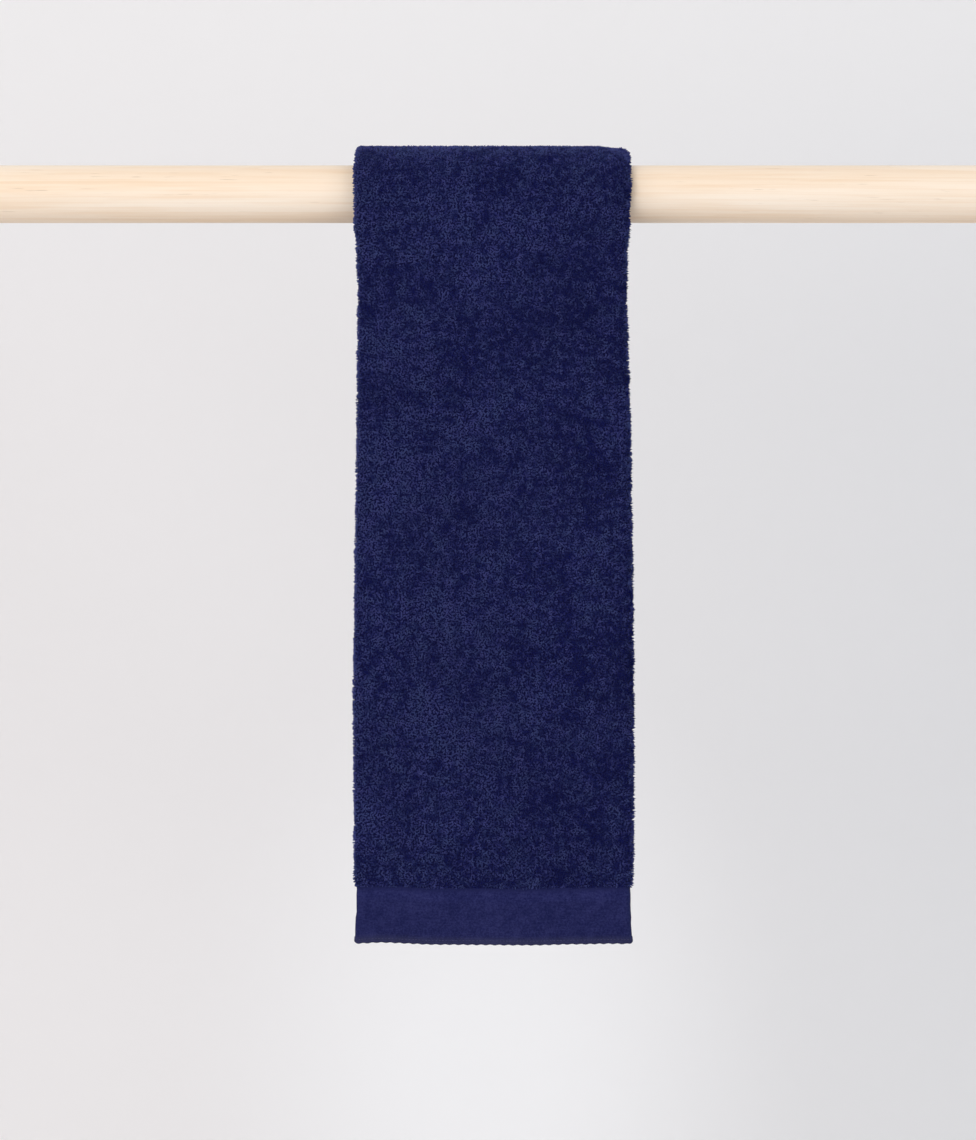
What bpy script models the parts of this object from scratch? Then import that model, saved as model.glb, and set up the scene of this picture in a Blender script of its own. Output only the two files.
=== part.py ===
"""A terry bath towel, folded in three along its length and hung over a round wooden rod.

Metres, +Z up. +X runs along the rod, and -Y is the side that the longer drop hangs on.
The origin is the centre of the rod's left end face.

The towel is one cloth. Its outer panel faces out on both drops. One flap is turned in at the left fold
and lies in the middle. The other is turned in at the wider right fold, round the first one, and lies
inside, against the rod. The two ends of the cloth are flat woven bands, thinner than the terry.
"""

import math

import bmesh
import bpy

# Rod
ROD_DIAMETER = 0.050
ROD_LENGTH = 1.000
ROD_SIDES = 64
ROD_END_EASE = 0.0015
ROD_MIDDLE = ROD_LENGTH / 2

# Cloth as it was cut
TOWEL_LENGTH = 1.400
TERRY_THICKNESS = 0.0050
BAND_THICKNESS = 0.0020
BAND_LENGTH = 0.0475
HEM_THICKNESS = 0.0028  # the band's end is turned over twice and stitched
HEM_LENGTH = 0.0045
TERRY_EDGE = 0.0015  # the terry rises to its full thickness over this length, above each band

# How it is folded and hung
LAYER_PITCH = 0.0060  # from the middle of one layer to the middle of the next
LEFT_FOLD_RADIUS = LAYER_PITCH / 2
RIGHT_FOLD_RADIUS = LAYER_PITCH
LEFT_FLAP_SETBACK = 0.0046  # from the middle flap's selvedge to the start of the right fold
RIGHT_FLAP_SETBACK = 0.0100  # from the inner flap's selvedge to the left fold's edge
FRONT_DROP = 0.6487  # from the rod's axis down to the front hem
SEAT_RADIUS = ROD_DIAMETER / 2 + 0.00045  # the cloth's inside, where it lies on the rod
OUTER_RADIUS = SEAT_RADIUS + TERRY_THICKNESS / 2 + 2 * LAYER_PITCH  # the outer panel, at mid thickness
WRAP_LENGTH = math.pi * OUTER_RADIUS
BACK_START = FRONT_DROP + WRAP_LENGTH

# Where the cloth's folded edges hang, left and right of the rod's middle, along the cloth from the
# front hem over the rod to the back hem
OUTLINE_COLUMNS = ("along", "left", "right")
OUTLINE = (
    (0.0000, 0.1186, 0.1182),
    (0.0475, 0.1172, 0.1167),
    (0.1060, 0.1182, 0.1180),
    (0.2090, 0.1190, 0.1180),
    (0.3130, 0.1176, 0.1172),
    (0.4160, 0.1162, 0.1158),
    (0.5190, 0.1152, 0.1127),
    (0.5600, 0.1147, 0.1113),
    (0.5960, 0.1164, 0.1122),
    (0.6220, 0.1184, 0.1147),
    (0.6600, 0.1187, 0.1156),
    (0.7115, 0.1176, 0.1140),
    (0.7740, 0.1182, 0.1152),
    (0.8700, 0.1146, 0.1128),
    (1.0600, 0.1160, 0.1150),
    (1.2500, 0.1176, 0.1170),
    (1.3525, 0.1166, 0.1164),
    (1.4000, 0.1180, 0.1176),
)

# How far each drop hangs outwards of a plumb line from the rod, by the distance under the rod's axis
LEAN_COLUMNS = ("under", "front", "back")
LEAN = (
    (0.000, 0.0000, 0.0000),
    (0.060, 0.0012, 0.0008),
    (0.160, 0.0024, 0.0020),
    (0.340, 0.0018, 0.0022),
    (0.480, 0.0006, 0.0008),
    (0.545, -0.0004, -0.0010),
    (0.600, -0.0030, -0.0024),
    (0.650, -0.0042, -0.0032),
)

# Broad soft ridges and troughs in the drops: side is -1 on the front drop and 1 on the back one, across is
# from the rod's middle, under is below the rod's axis, and rise is outwards
SWELL_COLUMNS = ("side", "across", "under", "half_width", "half_height", "rise")
SWELLS = (
    (-1, 0.045, 0.370, 0.045, 0.110, 0.0016),
    (-1, -0.070, 0.470, 0.040, 0.090, 0.0012),
    (-1, -0.085, 0.150, 0.035, 0.090, 0.0012),
    (-1, 0.025, 0.500, 0.035, 0.050, 0.0010),
    (-1, 0.015, 0.170, 0.050, 0.060, -0.0012),
    (-1, -0.060, 0.330, 0.035, 0.060, -0.0012),
    (-1, 0.095, 0.560, 0.045, 0.060, -0.0018),
    (-1, 0.090, 0.230, 0.040, 0.080, -0.0008),
    (1, -0.050, 0.200, 0.045, 0.110, 0.0014),
    (1, 0.060, 0.330, 0.045, 0.100, -0.0014),
    (1, -0.020, 0.470, 0.050, 0.090, 0.0012),
    (1, 0.080, 0.520, 0.040, 0.070, 0.0010),
)
SWELL_START = 0.045  # the swells fade in over this distance under the rod's axis

# How far each hem hangs below a straight line, by the distance from the rod's middle
HEM_COLUMNS = ("across", "front", "back")
HEM_SAG = (
    (-0.120, -0.0002, 0.0006),
    (-0.098, -0.0010, 0.0000),
    (-0.046, 0.0008, -0.0010),
    (0.032, 0.0013, 0.0004),
    (0.075, 0.0004, 0.0012),
    (0.104, 0.0000, 0.0002),
    (0.120, 0.0003, -0.0006),
)
FLAP_RISE = 0.0024  # the inner flap's hem hangs this much higher than the outer panel's
SAG_REACH = 0.30  # both are gone at this distance above the hem
HEM_CLOSING = 0.25  # the layers of the thin bands lie closer together, most at the hem

# The stack of layers is pressed thinner over the rod near the right fold
PRESS_DEPTH = 0.13
PRESS_REACH = 0.032

# Steps of the mesh
LEFT_FLAP_STEPS = 7
LEFT_FOLD_STEPS = 6
PANEL_STEPS = 10
RIGHT_FOLD_STEPS = 8
RIGHT_FLAP_STEPS = 7
BAND_STEPS = 2
HEM_STEP = 0.0003  # the hem's stitched edge drops to the band over this length
TERRY_ROUND = 0.0003  # the first step up the terry's round edge
DROP_STEPS = 15
WRAP_STEPS = 16

TERRY_COLOUR = (0.016, 0.019, 0.075, 1.0)
PINE_COLOUR = (0.82, 0.66, 0.46, 1.0)


def smooth(share):
    """Rises from 0 to 1, level at both ends."""
    share = min(max(share, 0.0), 1.0)
    return share * share * (3 - 2 * share)


def read_table(rows, columns, where, column):
    """The value of a column at a place along the table's first column, smooth between its rows."""
    index = columns.index(column)
    if where <= rows[0][0]:
        return rows[0][index]
    for low, high in zip(rows, rows[1:]):
        if where <= high[0]:
            share = smooth((where - low[0]) / (high[0] - low[0]))
            return low[index] + (high[index] - low[index]) * share
    return rows[-1][index]


def swell(side, across, under):
    """How far the soft ridges and troughs push the cloth outwards at a point of one drop."""
    total = 0.0
    for row in SWELLS:
        ridge = dict(zip(SWELL_COLUMNS, row))
        if ridge["side"] != side:
            continue
        aside = (across - ridge["across"]) / ridge["half_width"]
        above = (under - ridge["under"]) / ridge["half_height"]
        total += ridge["rise"] * math.exp(-(aside * aside + above * above))
    return total * smooth(under / SWELL_START)


def from_hem(along):
    """The distance along the cloth to the nearer hem."""
    return min(along, TOWEL_LENGTH - along)


def hem_drop(across, depth, along):
    """How far a point near a hem hangs below where an even cloth would be."""
    side = "front" if along < TOWEL_LENGTH / 2 else "back"
    sag = read_table(HEM_SAG, HEM_COLUMNS, across, side)
    rise = FLAP_RISE * depth / (2 * LAYER_PITCH)
    return (sag - rise) * smooth(1 - from_hem(along) / SAG_REACH)


def pressing(across, right):
    """The share of the stack's thickness that is left over the rod, less near the right fold."""
    return 1 - PRESS_DEPTH * smooth(1 - (right - across) / PRESS_REACH)


def place(across, depth, along):
    """The point that lies across the towel, at a depth inside the outer panel, along the cloth."""
    radius = OUTER_RADIUS - depth
    if FRONT_DROP < along < BACK_START:
        turn = (along - FRONT_DROP) / OUTER_RADIUS
        right = read_table(OUTLINE, OUTLINE_COLUMNS, along, "right")
        pressed = SEAT_RADIUS + (radius - SEAT_RADIUS) * pressing(across, right)
        radius += (pressed - radius) * math.sin(turn)
        return (ROD_MIDDLE + across, -radius * math.cos(turn), radius * math.sin(turn))
    front = along <= FRONT_DROP
    side = -1 if front else 1
    under = FRONT_DROP - along if front else along - BACK_START
    lean = read_table(LEAN, LEAN_COLUMNS, under, "front" if front else "back")
    out = radius + lean + swell(side, across, under)
    return (ROD_MIDDLE + across, side * out, -under - hem_drop(across, depth, along))


def thickness_at(along):
    """The cloth's thickness: thin on the bands at both ends but for their hems, full on the terry."""
    if from_hem(along) < HEM_LENGTH - HEM_STEP / 2:
        return HEM_THICKNESS
    rise = (from_hem(along) - BAND_LENGTH) / TERRY_EDGE
    if rise <= 0:
        return BAND_THICKNESS
    if rise >= 1:
        return TERRY_THICKNESS
    round_edge = math.sqrt(1 - (1 - rise) ** 2)
    return BAND_THICKNESS + (TERRY_THICKNESS - BAND_THICKNESS) * round_edge


def folded_section(left, right):
    """The folded cloth's middle line from selvedge to selvedge.

    Each point is (across, depth, the normal's part across, the normal's part in depth).
    """
    left_centre = LEFT_FOLD_RADIUS - left
    right_centre = right - RIGHT_FOLD_RADIUS
    flap_end = right_centre - LEFT_FLAP_SETBACK
    inner_end = RIGHT_FLAP_SETBACK - left
    line = []
    for step in range(LEFT_FLAP_STEPS):
        share = step / LEFT_FLAP_STEPS
        line.append((flap_end + (left_centre - flap_end) * share, 2 * LEFT_FOLD_RADIUS, 0.0, 1.0))
    for step in range(LEFT_FOLD_STEPS):
        turn = math.pi * step / LEFT_FOLD_STEPS
        aside, inward = -math.sin(turn), math.cos(turn)
        depth = LEFT_FOLD_RADIUS * (1 + inward)
        line.append((left_centre + LEFT_FOLD_RADIUS * aside, depth, aside, inward))
    for step in range(PANEL_STEPS):
        share = step / PANEL_STEPS
        line.append((left_centre + (right_centre - left_centre) * share, 0.0, 0.0, -1.0))
    for step in range(RIGHT_FOLD_STEPS):
        turn = math.pi * step / RIGHT_FOLD_STEPS
        aside, inward = math.sin(turn), -math.cos(turn)
        depth = RIGHT_FOLD_RADIUS * (1 + inward)
        line.append((right_centre + RIGHT_FOLD_RADIUS * aside, depth, aside, inward))
    for step in range(RIGHT_FLAP_STEPS + 1):
        share = step / RIGHT_FLAP_STEPS
        line.append((right_centre + (inner_end - right_centre) * share, 2 * RIGHT_FOLD_RADIUS, 0.0, 1.0))
    return line


def spread(first, last, steps):
    """Even places from first up to, but without, last."""
    return [first + (last - first) * step / steps for step in range(steps)]


def places_along():
    """Where the sections stand along the cloth, from the front hem to the back hem."""
    terry_start = BAND_LENGTH + TERRY_EDGE
    band = [0.0, HEM_LENGTH - HEM_STEP, *spread(HEM_LENGTH, BAND_LENGTH, BAND_STEPS)]
    band += [BAND_LENGTH, BAND_LENGTH + TERRY_ROUND]
    front = band + spread(terry_start, FRONT_DROP, DROP_STEPS)
    wrap = spread(FRONT_DROP, BACK_START, WRAP_STEPS)
    back = spread(BACK_START, TOWEL_LENGTH - terry_start, DROP_STEPS) + [TOWEL_LENGTH - terry_start]
    return front + wrap + back + [TOWEL_LENGTH - near for near in reversed(band)]


def cloth_faces(bm):
    """The outer and inner skins of the cloth, as rows of vertices, one row for each section."""
    outer, inner = [], []
    for along in places_along():
        left = read_table(OUTLINE, OUTLINE_COLUMNS, along, "left")
        right = read_table(OUTLINE, OUTLINE_COLUMNS, along, "right")
        half = thickness_at(along) / 2
        closer = 1 - HEM_CLOSING * smooth(1 - from_hem(along) / BAND_LENGTH)
        outer_row, inner_row = [], []
        for across, depth, aside, inward in folded_section(left, right):
            depth *= closer
            outer_row.append(bm.verts.new(place(across + aside * half, depth + inward * half, along)))
            inner_row.append(bm.verts.new(place(across - aside * half, depth - inward * half, along)))
        outer.append(outer_row)
        inner.append(inner_row)
    return outer, inner


def skin(bm, rows):
    """Quads between the rows of one skin."""
    for low, high in zip(rows, rows[1:]):
        for first in range(len(low) - 1):
            bm.faces.new((low[first], low[first + 1], high[first + 1], high[first]))


def rim(bm, one, other):
    """Quads that join the edges of the two skins."""
    for first in range(len(one) - 1):
        bm.faces.new((one[first], other[first], other[first + 1], one[first + 1]))


def finish(bm, name, colour, roughness):
    """Turns a closed bmesh into a named, smooth-shaded object with its own material."""
    bmesh.ops.recalc_face_normals(bm, faces=bm.faces)
    mesh = bpy.data.meshes.new(name)
    bm.to_mesh(mesh)
    bm.free()
    mesh.shade_smooth()
    mesh.set_sharp_from_angle(angle=math.radians(40))
    material = bpy.data.materials.new(name)
    material.use_nodes = True
    shader = material.node_tree.nodes["Principled BSDF"]
    shader.inputs["Base Color"].default_value = colour
    shader.inputs["Roughness"].default_value = roughness
    shader.inputs["Metallic"].default_value = 0.0
    mesh.materials.append(material)
    made = bpy.data.objects.new(name, mesh)
    bpy.context.scene.collection.objects.link(made)
    return made


def build_towel():
    """The folded cloth as one closed sheet."""
    bm = bmesh.new()
    outer, inner = cloth_faces(bm)
    skin(bm, outer)
    skin(bm, [list(reversed(row)) for row in inner])
    for end in (0, -1):
        rim(bm, outer[end], inner[end])
        rim(bm, [row[end] for row in outer], [row[end] for row in inner])
    return finish(bm, "towel", TERRY_COLOUR, 0.95)


def build_rod():
    """A turned round rod with both ends sawn square and lightly eased."""
    bm = bmesh.new()
    radius = ROD_DIAMETER / 2
    profile = (
        (0.0, radius - ROD_END_EASE),
        (ROD_END_EASE, radius),
        (ROD_LENGTH - ROD_END_EASE, radius),
        (ROD_LENGTH, radius - ROD_END_EASE),
    )
    turns = [2 * math.pi * side / ROD_SIDES for side in range(ROD_SIDES)]
    rings = []
    for along, reach in profile:
        points = [(along, reach * math.cos(turn), reach * math.sin(turn)) for turn in turns]
        rings.append([bm.verts.new(point) for point in points])
    for low, high in zip(rings, rings[1:]):
        for side in range(ROD_SIDES):
            after = (side + 1) % ROD_SIDES
            bm.faces.new((low[side], low[after], high[after], high[side]))
    bm.faces.new(rings[0])
    bm.faces.new(rings[-1])
    return finish(bm, "rod", PINE_COLOUR, 0.5)


def clear_scene():
    for old in list(bpy.data.objects):
        bpy.data.objects.remove(old)


clear_scene()
build_rod()
build_towel()
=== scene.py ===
"""Bath towel over a wooden rod: the looks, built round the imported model.

A navy terry towel, folded in three along its length, hangs over a round pine rod with its longer drop in
front. Every piece is made in metres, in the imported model's own frame: X along the rod, -Y towards the
viewer, Z up.
"""

import math

import bmesh
import bpy
import numpy as np
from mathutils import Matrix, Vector


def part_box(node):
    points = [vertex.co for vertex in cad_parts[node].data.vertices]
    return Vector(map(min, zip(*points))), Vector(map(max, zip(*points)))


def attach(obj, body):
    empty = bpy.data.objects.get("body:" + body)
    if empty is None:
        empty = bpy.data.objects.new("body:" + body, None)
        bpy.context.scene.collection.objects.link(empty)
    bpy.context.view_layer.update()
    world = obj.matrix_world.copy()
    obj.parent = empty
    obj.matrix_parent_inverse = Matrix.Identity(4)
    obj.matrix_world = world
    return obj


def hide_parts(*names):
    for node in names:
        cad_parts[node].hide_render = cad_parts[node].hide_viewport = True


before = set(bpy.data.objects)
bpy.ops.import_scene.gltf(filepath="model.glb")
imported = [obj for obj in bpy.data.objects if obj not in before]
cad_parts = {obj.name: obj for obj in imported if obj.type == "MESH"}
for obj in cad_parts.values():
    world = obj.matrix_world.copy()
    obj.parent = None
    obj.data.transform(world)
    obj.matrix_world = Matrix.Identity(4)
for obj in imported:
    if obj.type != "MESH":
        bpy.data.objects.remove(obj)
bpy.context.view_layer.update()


# The rod
# One length of round pine, planed to a dowel and sanded, without varnish. Both ends are sawn square and
# lightly eased. The grain runs along it, with faint year rings, fine pores and a few darker flecks.
rod_low, rod_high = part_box("rod")
ROD_LENGTH = rod_high.x - rod_low.x
ROD_RADIUS = (rod_high.z - rod_low.z) / 2
ROD_SIDES = 128
ROD_END_EASE = 0.0015
ROD_EASE_STEPS = 4
ROD_BODY_STEPS = 40
END_RINGS = 5

PINE_PALE = (0.79, 0.695, 0.590, 1.0)
PINE_LATE = (0.702, 0.511, 0.339, 1.0)
PINE_FLECK = (0.40, 0.28, 0.19, 1.0)
PITH_OFFSET = (0.0, 0.021, -0.046)
YEAR_RING = 0.0044
PAINTED_UNDERSIDE_SHADE = (0.013, 0.024)  # painted shade: below the axis the wood turns darker and more orange towards the bottom


def linked(name, data):
    """An object of this data, in the scene."""
    thing = bpy.data.objects.new(name, data)
    bpy.context.scene.collection.objects.link(thing)
    return thing


def finished(name, mesh, material):
    """Links a mesh as a piece that rides on the part's one body."""
    mesh.materials.clear()
    mesh.materials.append(material)
    piece = linked(name, mesh)
    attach(piece, "root")
    return piece


class Nodes:
    """A node tree, with short calls to add nodes and join them."""

    def __init__(self, tree):
        self.tree = tree

    def put(self, socket, value):
        """Gives an input a value, or joins another node's output to it."""
        if isinstance(value, bpy.types.NodeSocket):
            self.tree.links.new(value, socket)
        else:
            socket.default_value = value

    def add(self, kind, settings=None, **inputs):
        """Adds a node. Its inputs are named with _ for spaces."""
        node = self.tree.nodes.new(kind)
        for setting, value in (settings or {}).items():
            setattr(node, setting, value)
        for label, value in inputs.items():
            self.put(node.inputs[label.replace("_", " ")], value)
        return node

    def pair(self, kind, operation, first, second):
        node = self.add(kind, {"operation": operation})
        self.put(node.inputs[0], first)
        self.put(node.inputs[1], second)
        return node.outputs

    def math(self, operation, first, second=0.0):
        return self.pair("ShaderNodeMath", operation, first, second)["Value"]

    def vector(self, operation, first, second):
        return self.pair("ShaderNodeVectorMath", operation, first, second)["Vector"]

    def distance(self, first, second):
        return self.pair("ShaderNodeVectorMath", "DISTANCE", first, second)["Value"]

    def apart(self, vector):
        return self.add("ShaderNodeSeparateXYZ", Vector=vector).outputs

    def total(self, first, *others):
        """A first value, plus others that each have a weight."""
        for value, weight in others:
            first = self.math("ADD", first, self.math("MULTIPLY", value, weight))
        return first


class Shader(Nodes):
    """A material, with short calls for its patterns and its surface."""

    def __init__(self, name):
        self.material = bpy.data.materials.new(name)
        self.material.use_nodes = True
        super().__init__(self.material.node_tree)
        self.surface = self.tree.nodes["Principled BSDF"]

    def stretched(self, scale=(1.0, 1.0, 1.0), space="Object"):
        """A place on the piece, scaled by (x, y, z)."""
        place = self.add("ShaderNodeTexCoord").outputs[space]
        return self.add("ShaderNodeMapping", Vector=place, Scale=scale).outputs["Vector"]

    def noise(self, vector, scale, detail=2.0, rough=0.5):
        node = self.add("ShaderNodeTexNoise", Vector=vector, Scale=scale, Detail=detail, Roughness=rough)
        return node.outputs["Fac"]

    def ramp(self, value, low, high):
        """Rises from 0 to 1 as the value goes from low to high."""
        settings = {"interpolation_type": "SMOOTHSTEP"}
        node = self.add("ShaderNodeMapRange", settings, Value=value, From_Min=low, From_Max=high)
        return node.outputs["Result"]

    def mix(self, share, first, second, blend="MIX"):
        """A mix of two colours."""
        node = self.add("ShaderNodeMix", {"data_type": "RGBA", "blend_type": blend}, Factor=share)
        self.put(node.inputs[6], first)
        self.put(node.inputs[7], second)
        return node.outputs[2]

    def shaded(self, colour, level):
        """A colour times a level that varies over the piece."""
        grey = self.add("ShaderNodeCombineColor", Red=level, Green=level, Blue=level).outputs["Color"]
        return self.mix(1.0, colour, grey, "MULTIPLY")

    def wear(self, colour, **values):
        """Gives the surface its colour, and its other values by name."""
        self.put(self.surface.inputs["Base Color"], colour)
        for label, value in values.items():
            self.put(self.surface.inputs[label.replace("_", " ")], value)

    def bump(self, height, strength, distance):
        node = self.add("ShaderNodeBump", Height=height, Strength=strength, Distance=distance)
        self.put(self.surface.inputs["Normal"], node.outputs["Normal"])


def pine():
    """Pale pine: year rings round a pith outside the rod, fibres, flecks, a soft sanded sheen, and painted
    shade that darkens its underside.
    """
    wood = Shader("pine")
    waver = wood.noise(wood.stretched((1.3, 9.0, 9.0)), 1.0)
    place = wood.add("ShaderNodeTexCoord").outputs["Object"]
    across = wood.vector("MULTIPLY", wood.vector("SUBTRACT", place, PITH_OFFSET), (0.0, 1.0, 1.0))
    axes = wood.apart(place)
    ring = wood.total(wood.distance(across, (0.0, 0.0, 0.0)), (axes["X"], 0.006), (waver, 0.013))
    year = wood.math("FRACT", wood.math("DIVIDE", ring, YEAR_RING))
    late = wood.ramp(wood.math("POWER", year, 2.2), 0.15, 1.0)
    fibre = wood.noise(wood.stretched((7.0, 620.0, 620.0)), 1.0, 3.0, 0.6)
    broad = wood.noise(wood.stretched((2.2, 28.0, 28.0)), 1.0)
    streak = wood.noise(wood.stretched((9.0, 230.0, 230.0)), 1.0, 2.0, 0.6)
    share = wood.total(
        0.0,
        (late, 0.18),
        (wood.ramp(fibre, 0.35, 0.75), 0.14),
        (wood.ramp(streak, 0.42, 0.72), 0.24),
        (wood.ramp(broad, 0.35, 0.70), 0.40),
        # painted shade: darker towards the bottom of the rod, under its axis
        (wood.ramp(wood.math("MULTIPLY", axes["Z"], -1.0), *PAINTED_UNDERSIDE_SHADE), 0.29),
    )
    colour = wood.mix(share, PINE_PALE, PINE_LATE)
    pores = wood.ramp(wood.noise(wood.stretched((38.0, 900.0, 900.0)), 1.0, 1.0), 0.71, 0.80)
    patches = wood.ramp(wood.noise(wood.stretched((4.0, 18.0, 18.0)), 1.0, 1.0), 0.44, 0.60)
    fleck = wood.math("MULTIPLY", wood.math("MULTIPLY", pores, patches), 0.55)
    rough = wood.total(0.38, (fibre, 0.16))
    wood.wear(wood.mix(fleck, colour, PINE_FLECK), Roughness=rough, Specular_IOR_Level=0.22)
    wood.bump(wood.total(0.0, (fibre, 0.6), (late, -0.4)), 0.16, 0.0004)
    return wood.material


def dowel_mesh(name):
    """A lathe-turned dowel: rings of points along X, closed at both ends."""
    end = []
    for step in range(1, END_RINGS + 1):
        end.append((0.0, (ROD_RADIUS - ROD_END_EASE) * step / END_RINGS))
    for step in range(1, ROD_EASE_STEPS + 1):
        turn = math.pi / 2 * step / ROD_EASE_STEPS
        end.append((ROD_END_EASE * (1 - math.cos(turn)), ROD_RADIUS - ROD_END_EASE * (1 - math.sin(turn))))
    body = []
    for step in range(1, ROD_BODY_STEPS):
        body.append((ROD_END_EASE + (ROD_LENGTH - 2 * ROD_END_EASE) * step / ROD_BODY_STEPS, ROD_RADIUS))
    profile = end + body + [(ROD_LENGTH - along, reach) for along, reach in reversed(end)]
    bm = bmesh.new()
    turns = [2 * math.pi * side / ROD_SIDES for side in range(ROD_SIDES)]
    rings = []
    for along, reach in profile:
        ring = [(rod_low.x + along, reach * math.cos(turn), reach * math.sin(turn)) for turn in turns]
        rings.append([bm.verts.new(point) for point in ring])
    for low, high in zip(rings, rings[1:]):
        for side in range(ROD_SIDES):
            after = (side + 1) % ROD_SIDES
            bm.faces.new((low[side], low[after], high[after], high[side]))
    for ring, along in ((rings[0], 0.0), (rings[-1], ROD_LENGTH)):
        middle = bm.verts.new((rod_low.x + along, 0.0, 0.0))
        for side in range(ROD_SIDES):
            bm.faces.new((ring[side], ring[(side + 1) % ROD_SIDES], middle))
    bmesh.ops.recalc_face_normals(bm, faces=bm.faces)
    mesh = bpy.data.meshes.new(name)
    bm.to_mesh(mesh)
    bm.free()
    mesh.shade_smooth()
    mesh.set_sharp_from_angle(angle=math.radians(50))
    return mesh


rod = finished("pine_rod", dowel_mesh("pine_rod"), pine())
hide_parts("rod")


# The towel's ground cloth
# One length of cotton terry, 70 by 140 cm, yarn dyed navy. This piece is its woven ground, which the loops
# stand in. It is folded in three along its length and hung over the rod: the left fold is tight, and the
# right one goes round the edge of the flap that lies in the middle.
TOWEL_WIDTH = 0.700
TOWEL_LENGTH = 1.400
BAND_LENGTH = 0.0475
CLOTH_THICKNESS = 0.0050  # over the pile on both sides
LAYER_PITCH = 0.0060
LEFT_FOLD_RADIUS = LAYER_PITCH / 2
RIGHT_FOLD_RADIUS = LAYER_PITCH
LEFT_FLAP_SETBACK = 0.0046
RIGHT_FLAP_SETBACK = 0.0100
FRONT_DROP = 0.6487
SEAT_RADIUS = ROD_RADIUS + 0.00045
OUTER_RADIUS = SEAT_RADIUS + CLOTH_THICKNESS / 2 + 2 * LAYER_PITCH
WRAP_LENGTH = math.pi * OUTER_RADIUS
BACK_START = FRONT_DROP + WRAP_LENGTH
TOWEL_MIDDLE = (rod_low.x + rod_high.x) / 2

# where the folded edges hang, left and right of the middle: (along the cloth, left, right)
OUTLINE = (
    (0.0000, 0.1186, 0.1182),
    (0.0475, 0.1172, 0.1167),
    (0.0550, 0.1184, 0.1177),
    (0.1060, 0.1183, 0.1181),
    (0.2090, 0.1190, 0.1180),
    (0.3130, 0.1176, 0.1172),
    (0.4160, 0.1162, 0.1158),
    (0.5190, 0.1152, 0.1131),
    (0.5600, 0.1147, 0.1119),
    (0.5960, 0.1164, 0.1128),
    (0.6220, 0.1184, 0.1147),
    (0.6600, 0.1187, 0.1156),
    (0.7115, 0.1176, 0.1144),
    (0.7740, 0.1182, 0.1152),
    (0.8700, 0.1146, 0.1128),
    (1.0600, 0.1160, 0.1150),
    (1.2500, 0.1176, 0.1170),
    (1.3525, 0.1166, 0.1164),
    (1.4000, 0.1180, 0.1176),
)

# how far each drop leans outwards: (under the rod's axis, front, back)
LEAN = (
    (0.000, 0.0000, 0.0000),
    (0.060, 0.0012, 0.0008),
    (0.160, 0.0024, 0.0020),
    (0.340, 0.0018, 0.0022),
    (0.480, 0.0006, 0.0008),
    (0.545, -0.0004, -0.0010),
    (0.600, -0.0030, -0.0024),
    (0.650, -0.0042, -0.0032),
)

# soft ridges and troughs: (side, across, under the axis, half width, half height, rise outwards)
SWELLS = (
    (-1, 0.045, 0.370, 0.045, 0.110, 0.0016),
    (-1, -0.070, 0.470, 0.040, 0.090, 0.0012),
    (-1, -0.085, 0.150, 0.035, 0.090, 0.0012),
    (-1, 0.025, 0.500, 0.035, 0.050, 0.0010),
    (-1, 0.015, 0.170, 0.050, 0.060, -0.0012),
    (-1, -0.060, 0.330, 0.035, 0.060, -0.0012),
    (-1, 0.095, 0.560, 0.045, 0.060, -0.0018),
    (-1, 0.090, 0.230, 0.040, 0.080, -0.0008),
    (1, -0.050, 0.200, 0.045, 0.110, 0.0014),
    (1, 0.060, 0.330, 0.045, 0.100, -0.0014),
    (1, -0.020, 0.470, 0.050, 0.090, 0.0012),
    (1, 0.080, 0.520, 0.040, 0.070, 0.0010),
)
SWELL_START = 0.045

# how far the hems hang below a straight line: (across, front, back)
HEM_SAG = (
    (-0.120, -0.0002, 0.0006),
    (-0.098, -0.0010, 0.0000),
    (-0.046, 0.0008, -0.0010),
    (0.032, 0.0013, 0.0004),
    (0.075, 0.0004, 0.0012),
    (0.104, 0.0000, 0.0002),
    (0.120, 0.0003, -0.0006),
)
FLAP_RISE = 0.0024
SAG_REACH = 0.30
HEM_CLOSING = 0.25
PRESS_DEPTH = 0.13
PRESS_REACH = 0.032

# fine waves of the folded edges along the cloth: (size, wave length, left phase, right phase)
EDGE_WAVES = (
    (0.00022, 0.0410, 0.4, 2.1),
    (0.00020, 0.0187, 1.9, 0.7),
    (0.00012, 0.0093, 0.2, 1.2),
)

# fine unevenness of the cloth's face: (size, wave across, wave along, phase)
FACE_WAVES = (
    (0.00016, 0.046, 0.083, 0.3),
    (0.00014, -0.031, 0.052, 1.9),
    (0.00012, 0.023, 0.029, 4.1),
    (0.00008, -0.015, 0.021, 2.7),
)


def ease(share):
    """Rises from 0 to 1, level at both ends."""
    share = np.clip(share, 0.0, 1.0)
    return share * share * (3 - 2 * share)


def read(rows, where, column):
    """A column of a table at places along its first column, smooth between its rows."""
    table = np.array(rows)
    where = np.clip(where, table[0, 0], table[-1, 0])
    low = np.clip(np.searchsorted(table[:, 0], where, side="right") - 1, 0, len(rows) - 2)
    share = ease((where - table[low, 0]) / (table[low + 1, 0] - table[low, 0]))
    return table[low, column] + (table[low + 1, column] - table[low, column]) * share


def from_hem(along):
    return np.minimum(along, TOWEL_LENGTH - along)


def swell(side, across, under):
    """The soft ridges and troughs of each drop, and the fine unevenness of the cloth's face."""
    total = np.zeros_like(across)
    for row_side, middle, level, half_width, half_height, rise in SWELLS:
        reach = ((across - middle) / half_width) ** 2 + ((under - level) / half_height) ** 2
        total += np.where(side == row_side, rise * np.exp(-reach), 0.0)
    for size, wave_across, wave_along, phase in FACE_WAVES:
        total += size * np.sin(2 * np.pi * (across / wave_across + under / wave_along) + phase + side)
    return total * ease(under / SWELL_START)


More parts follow.
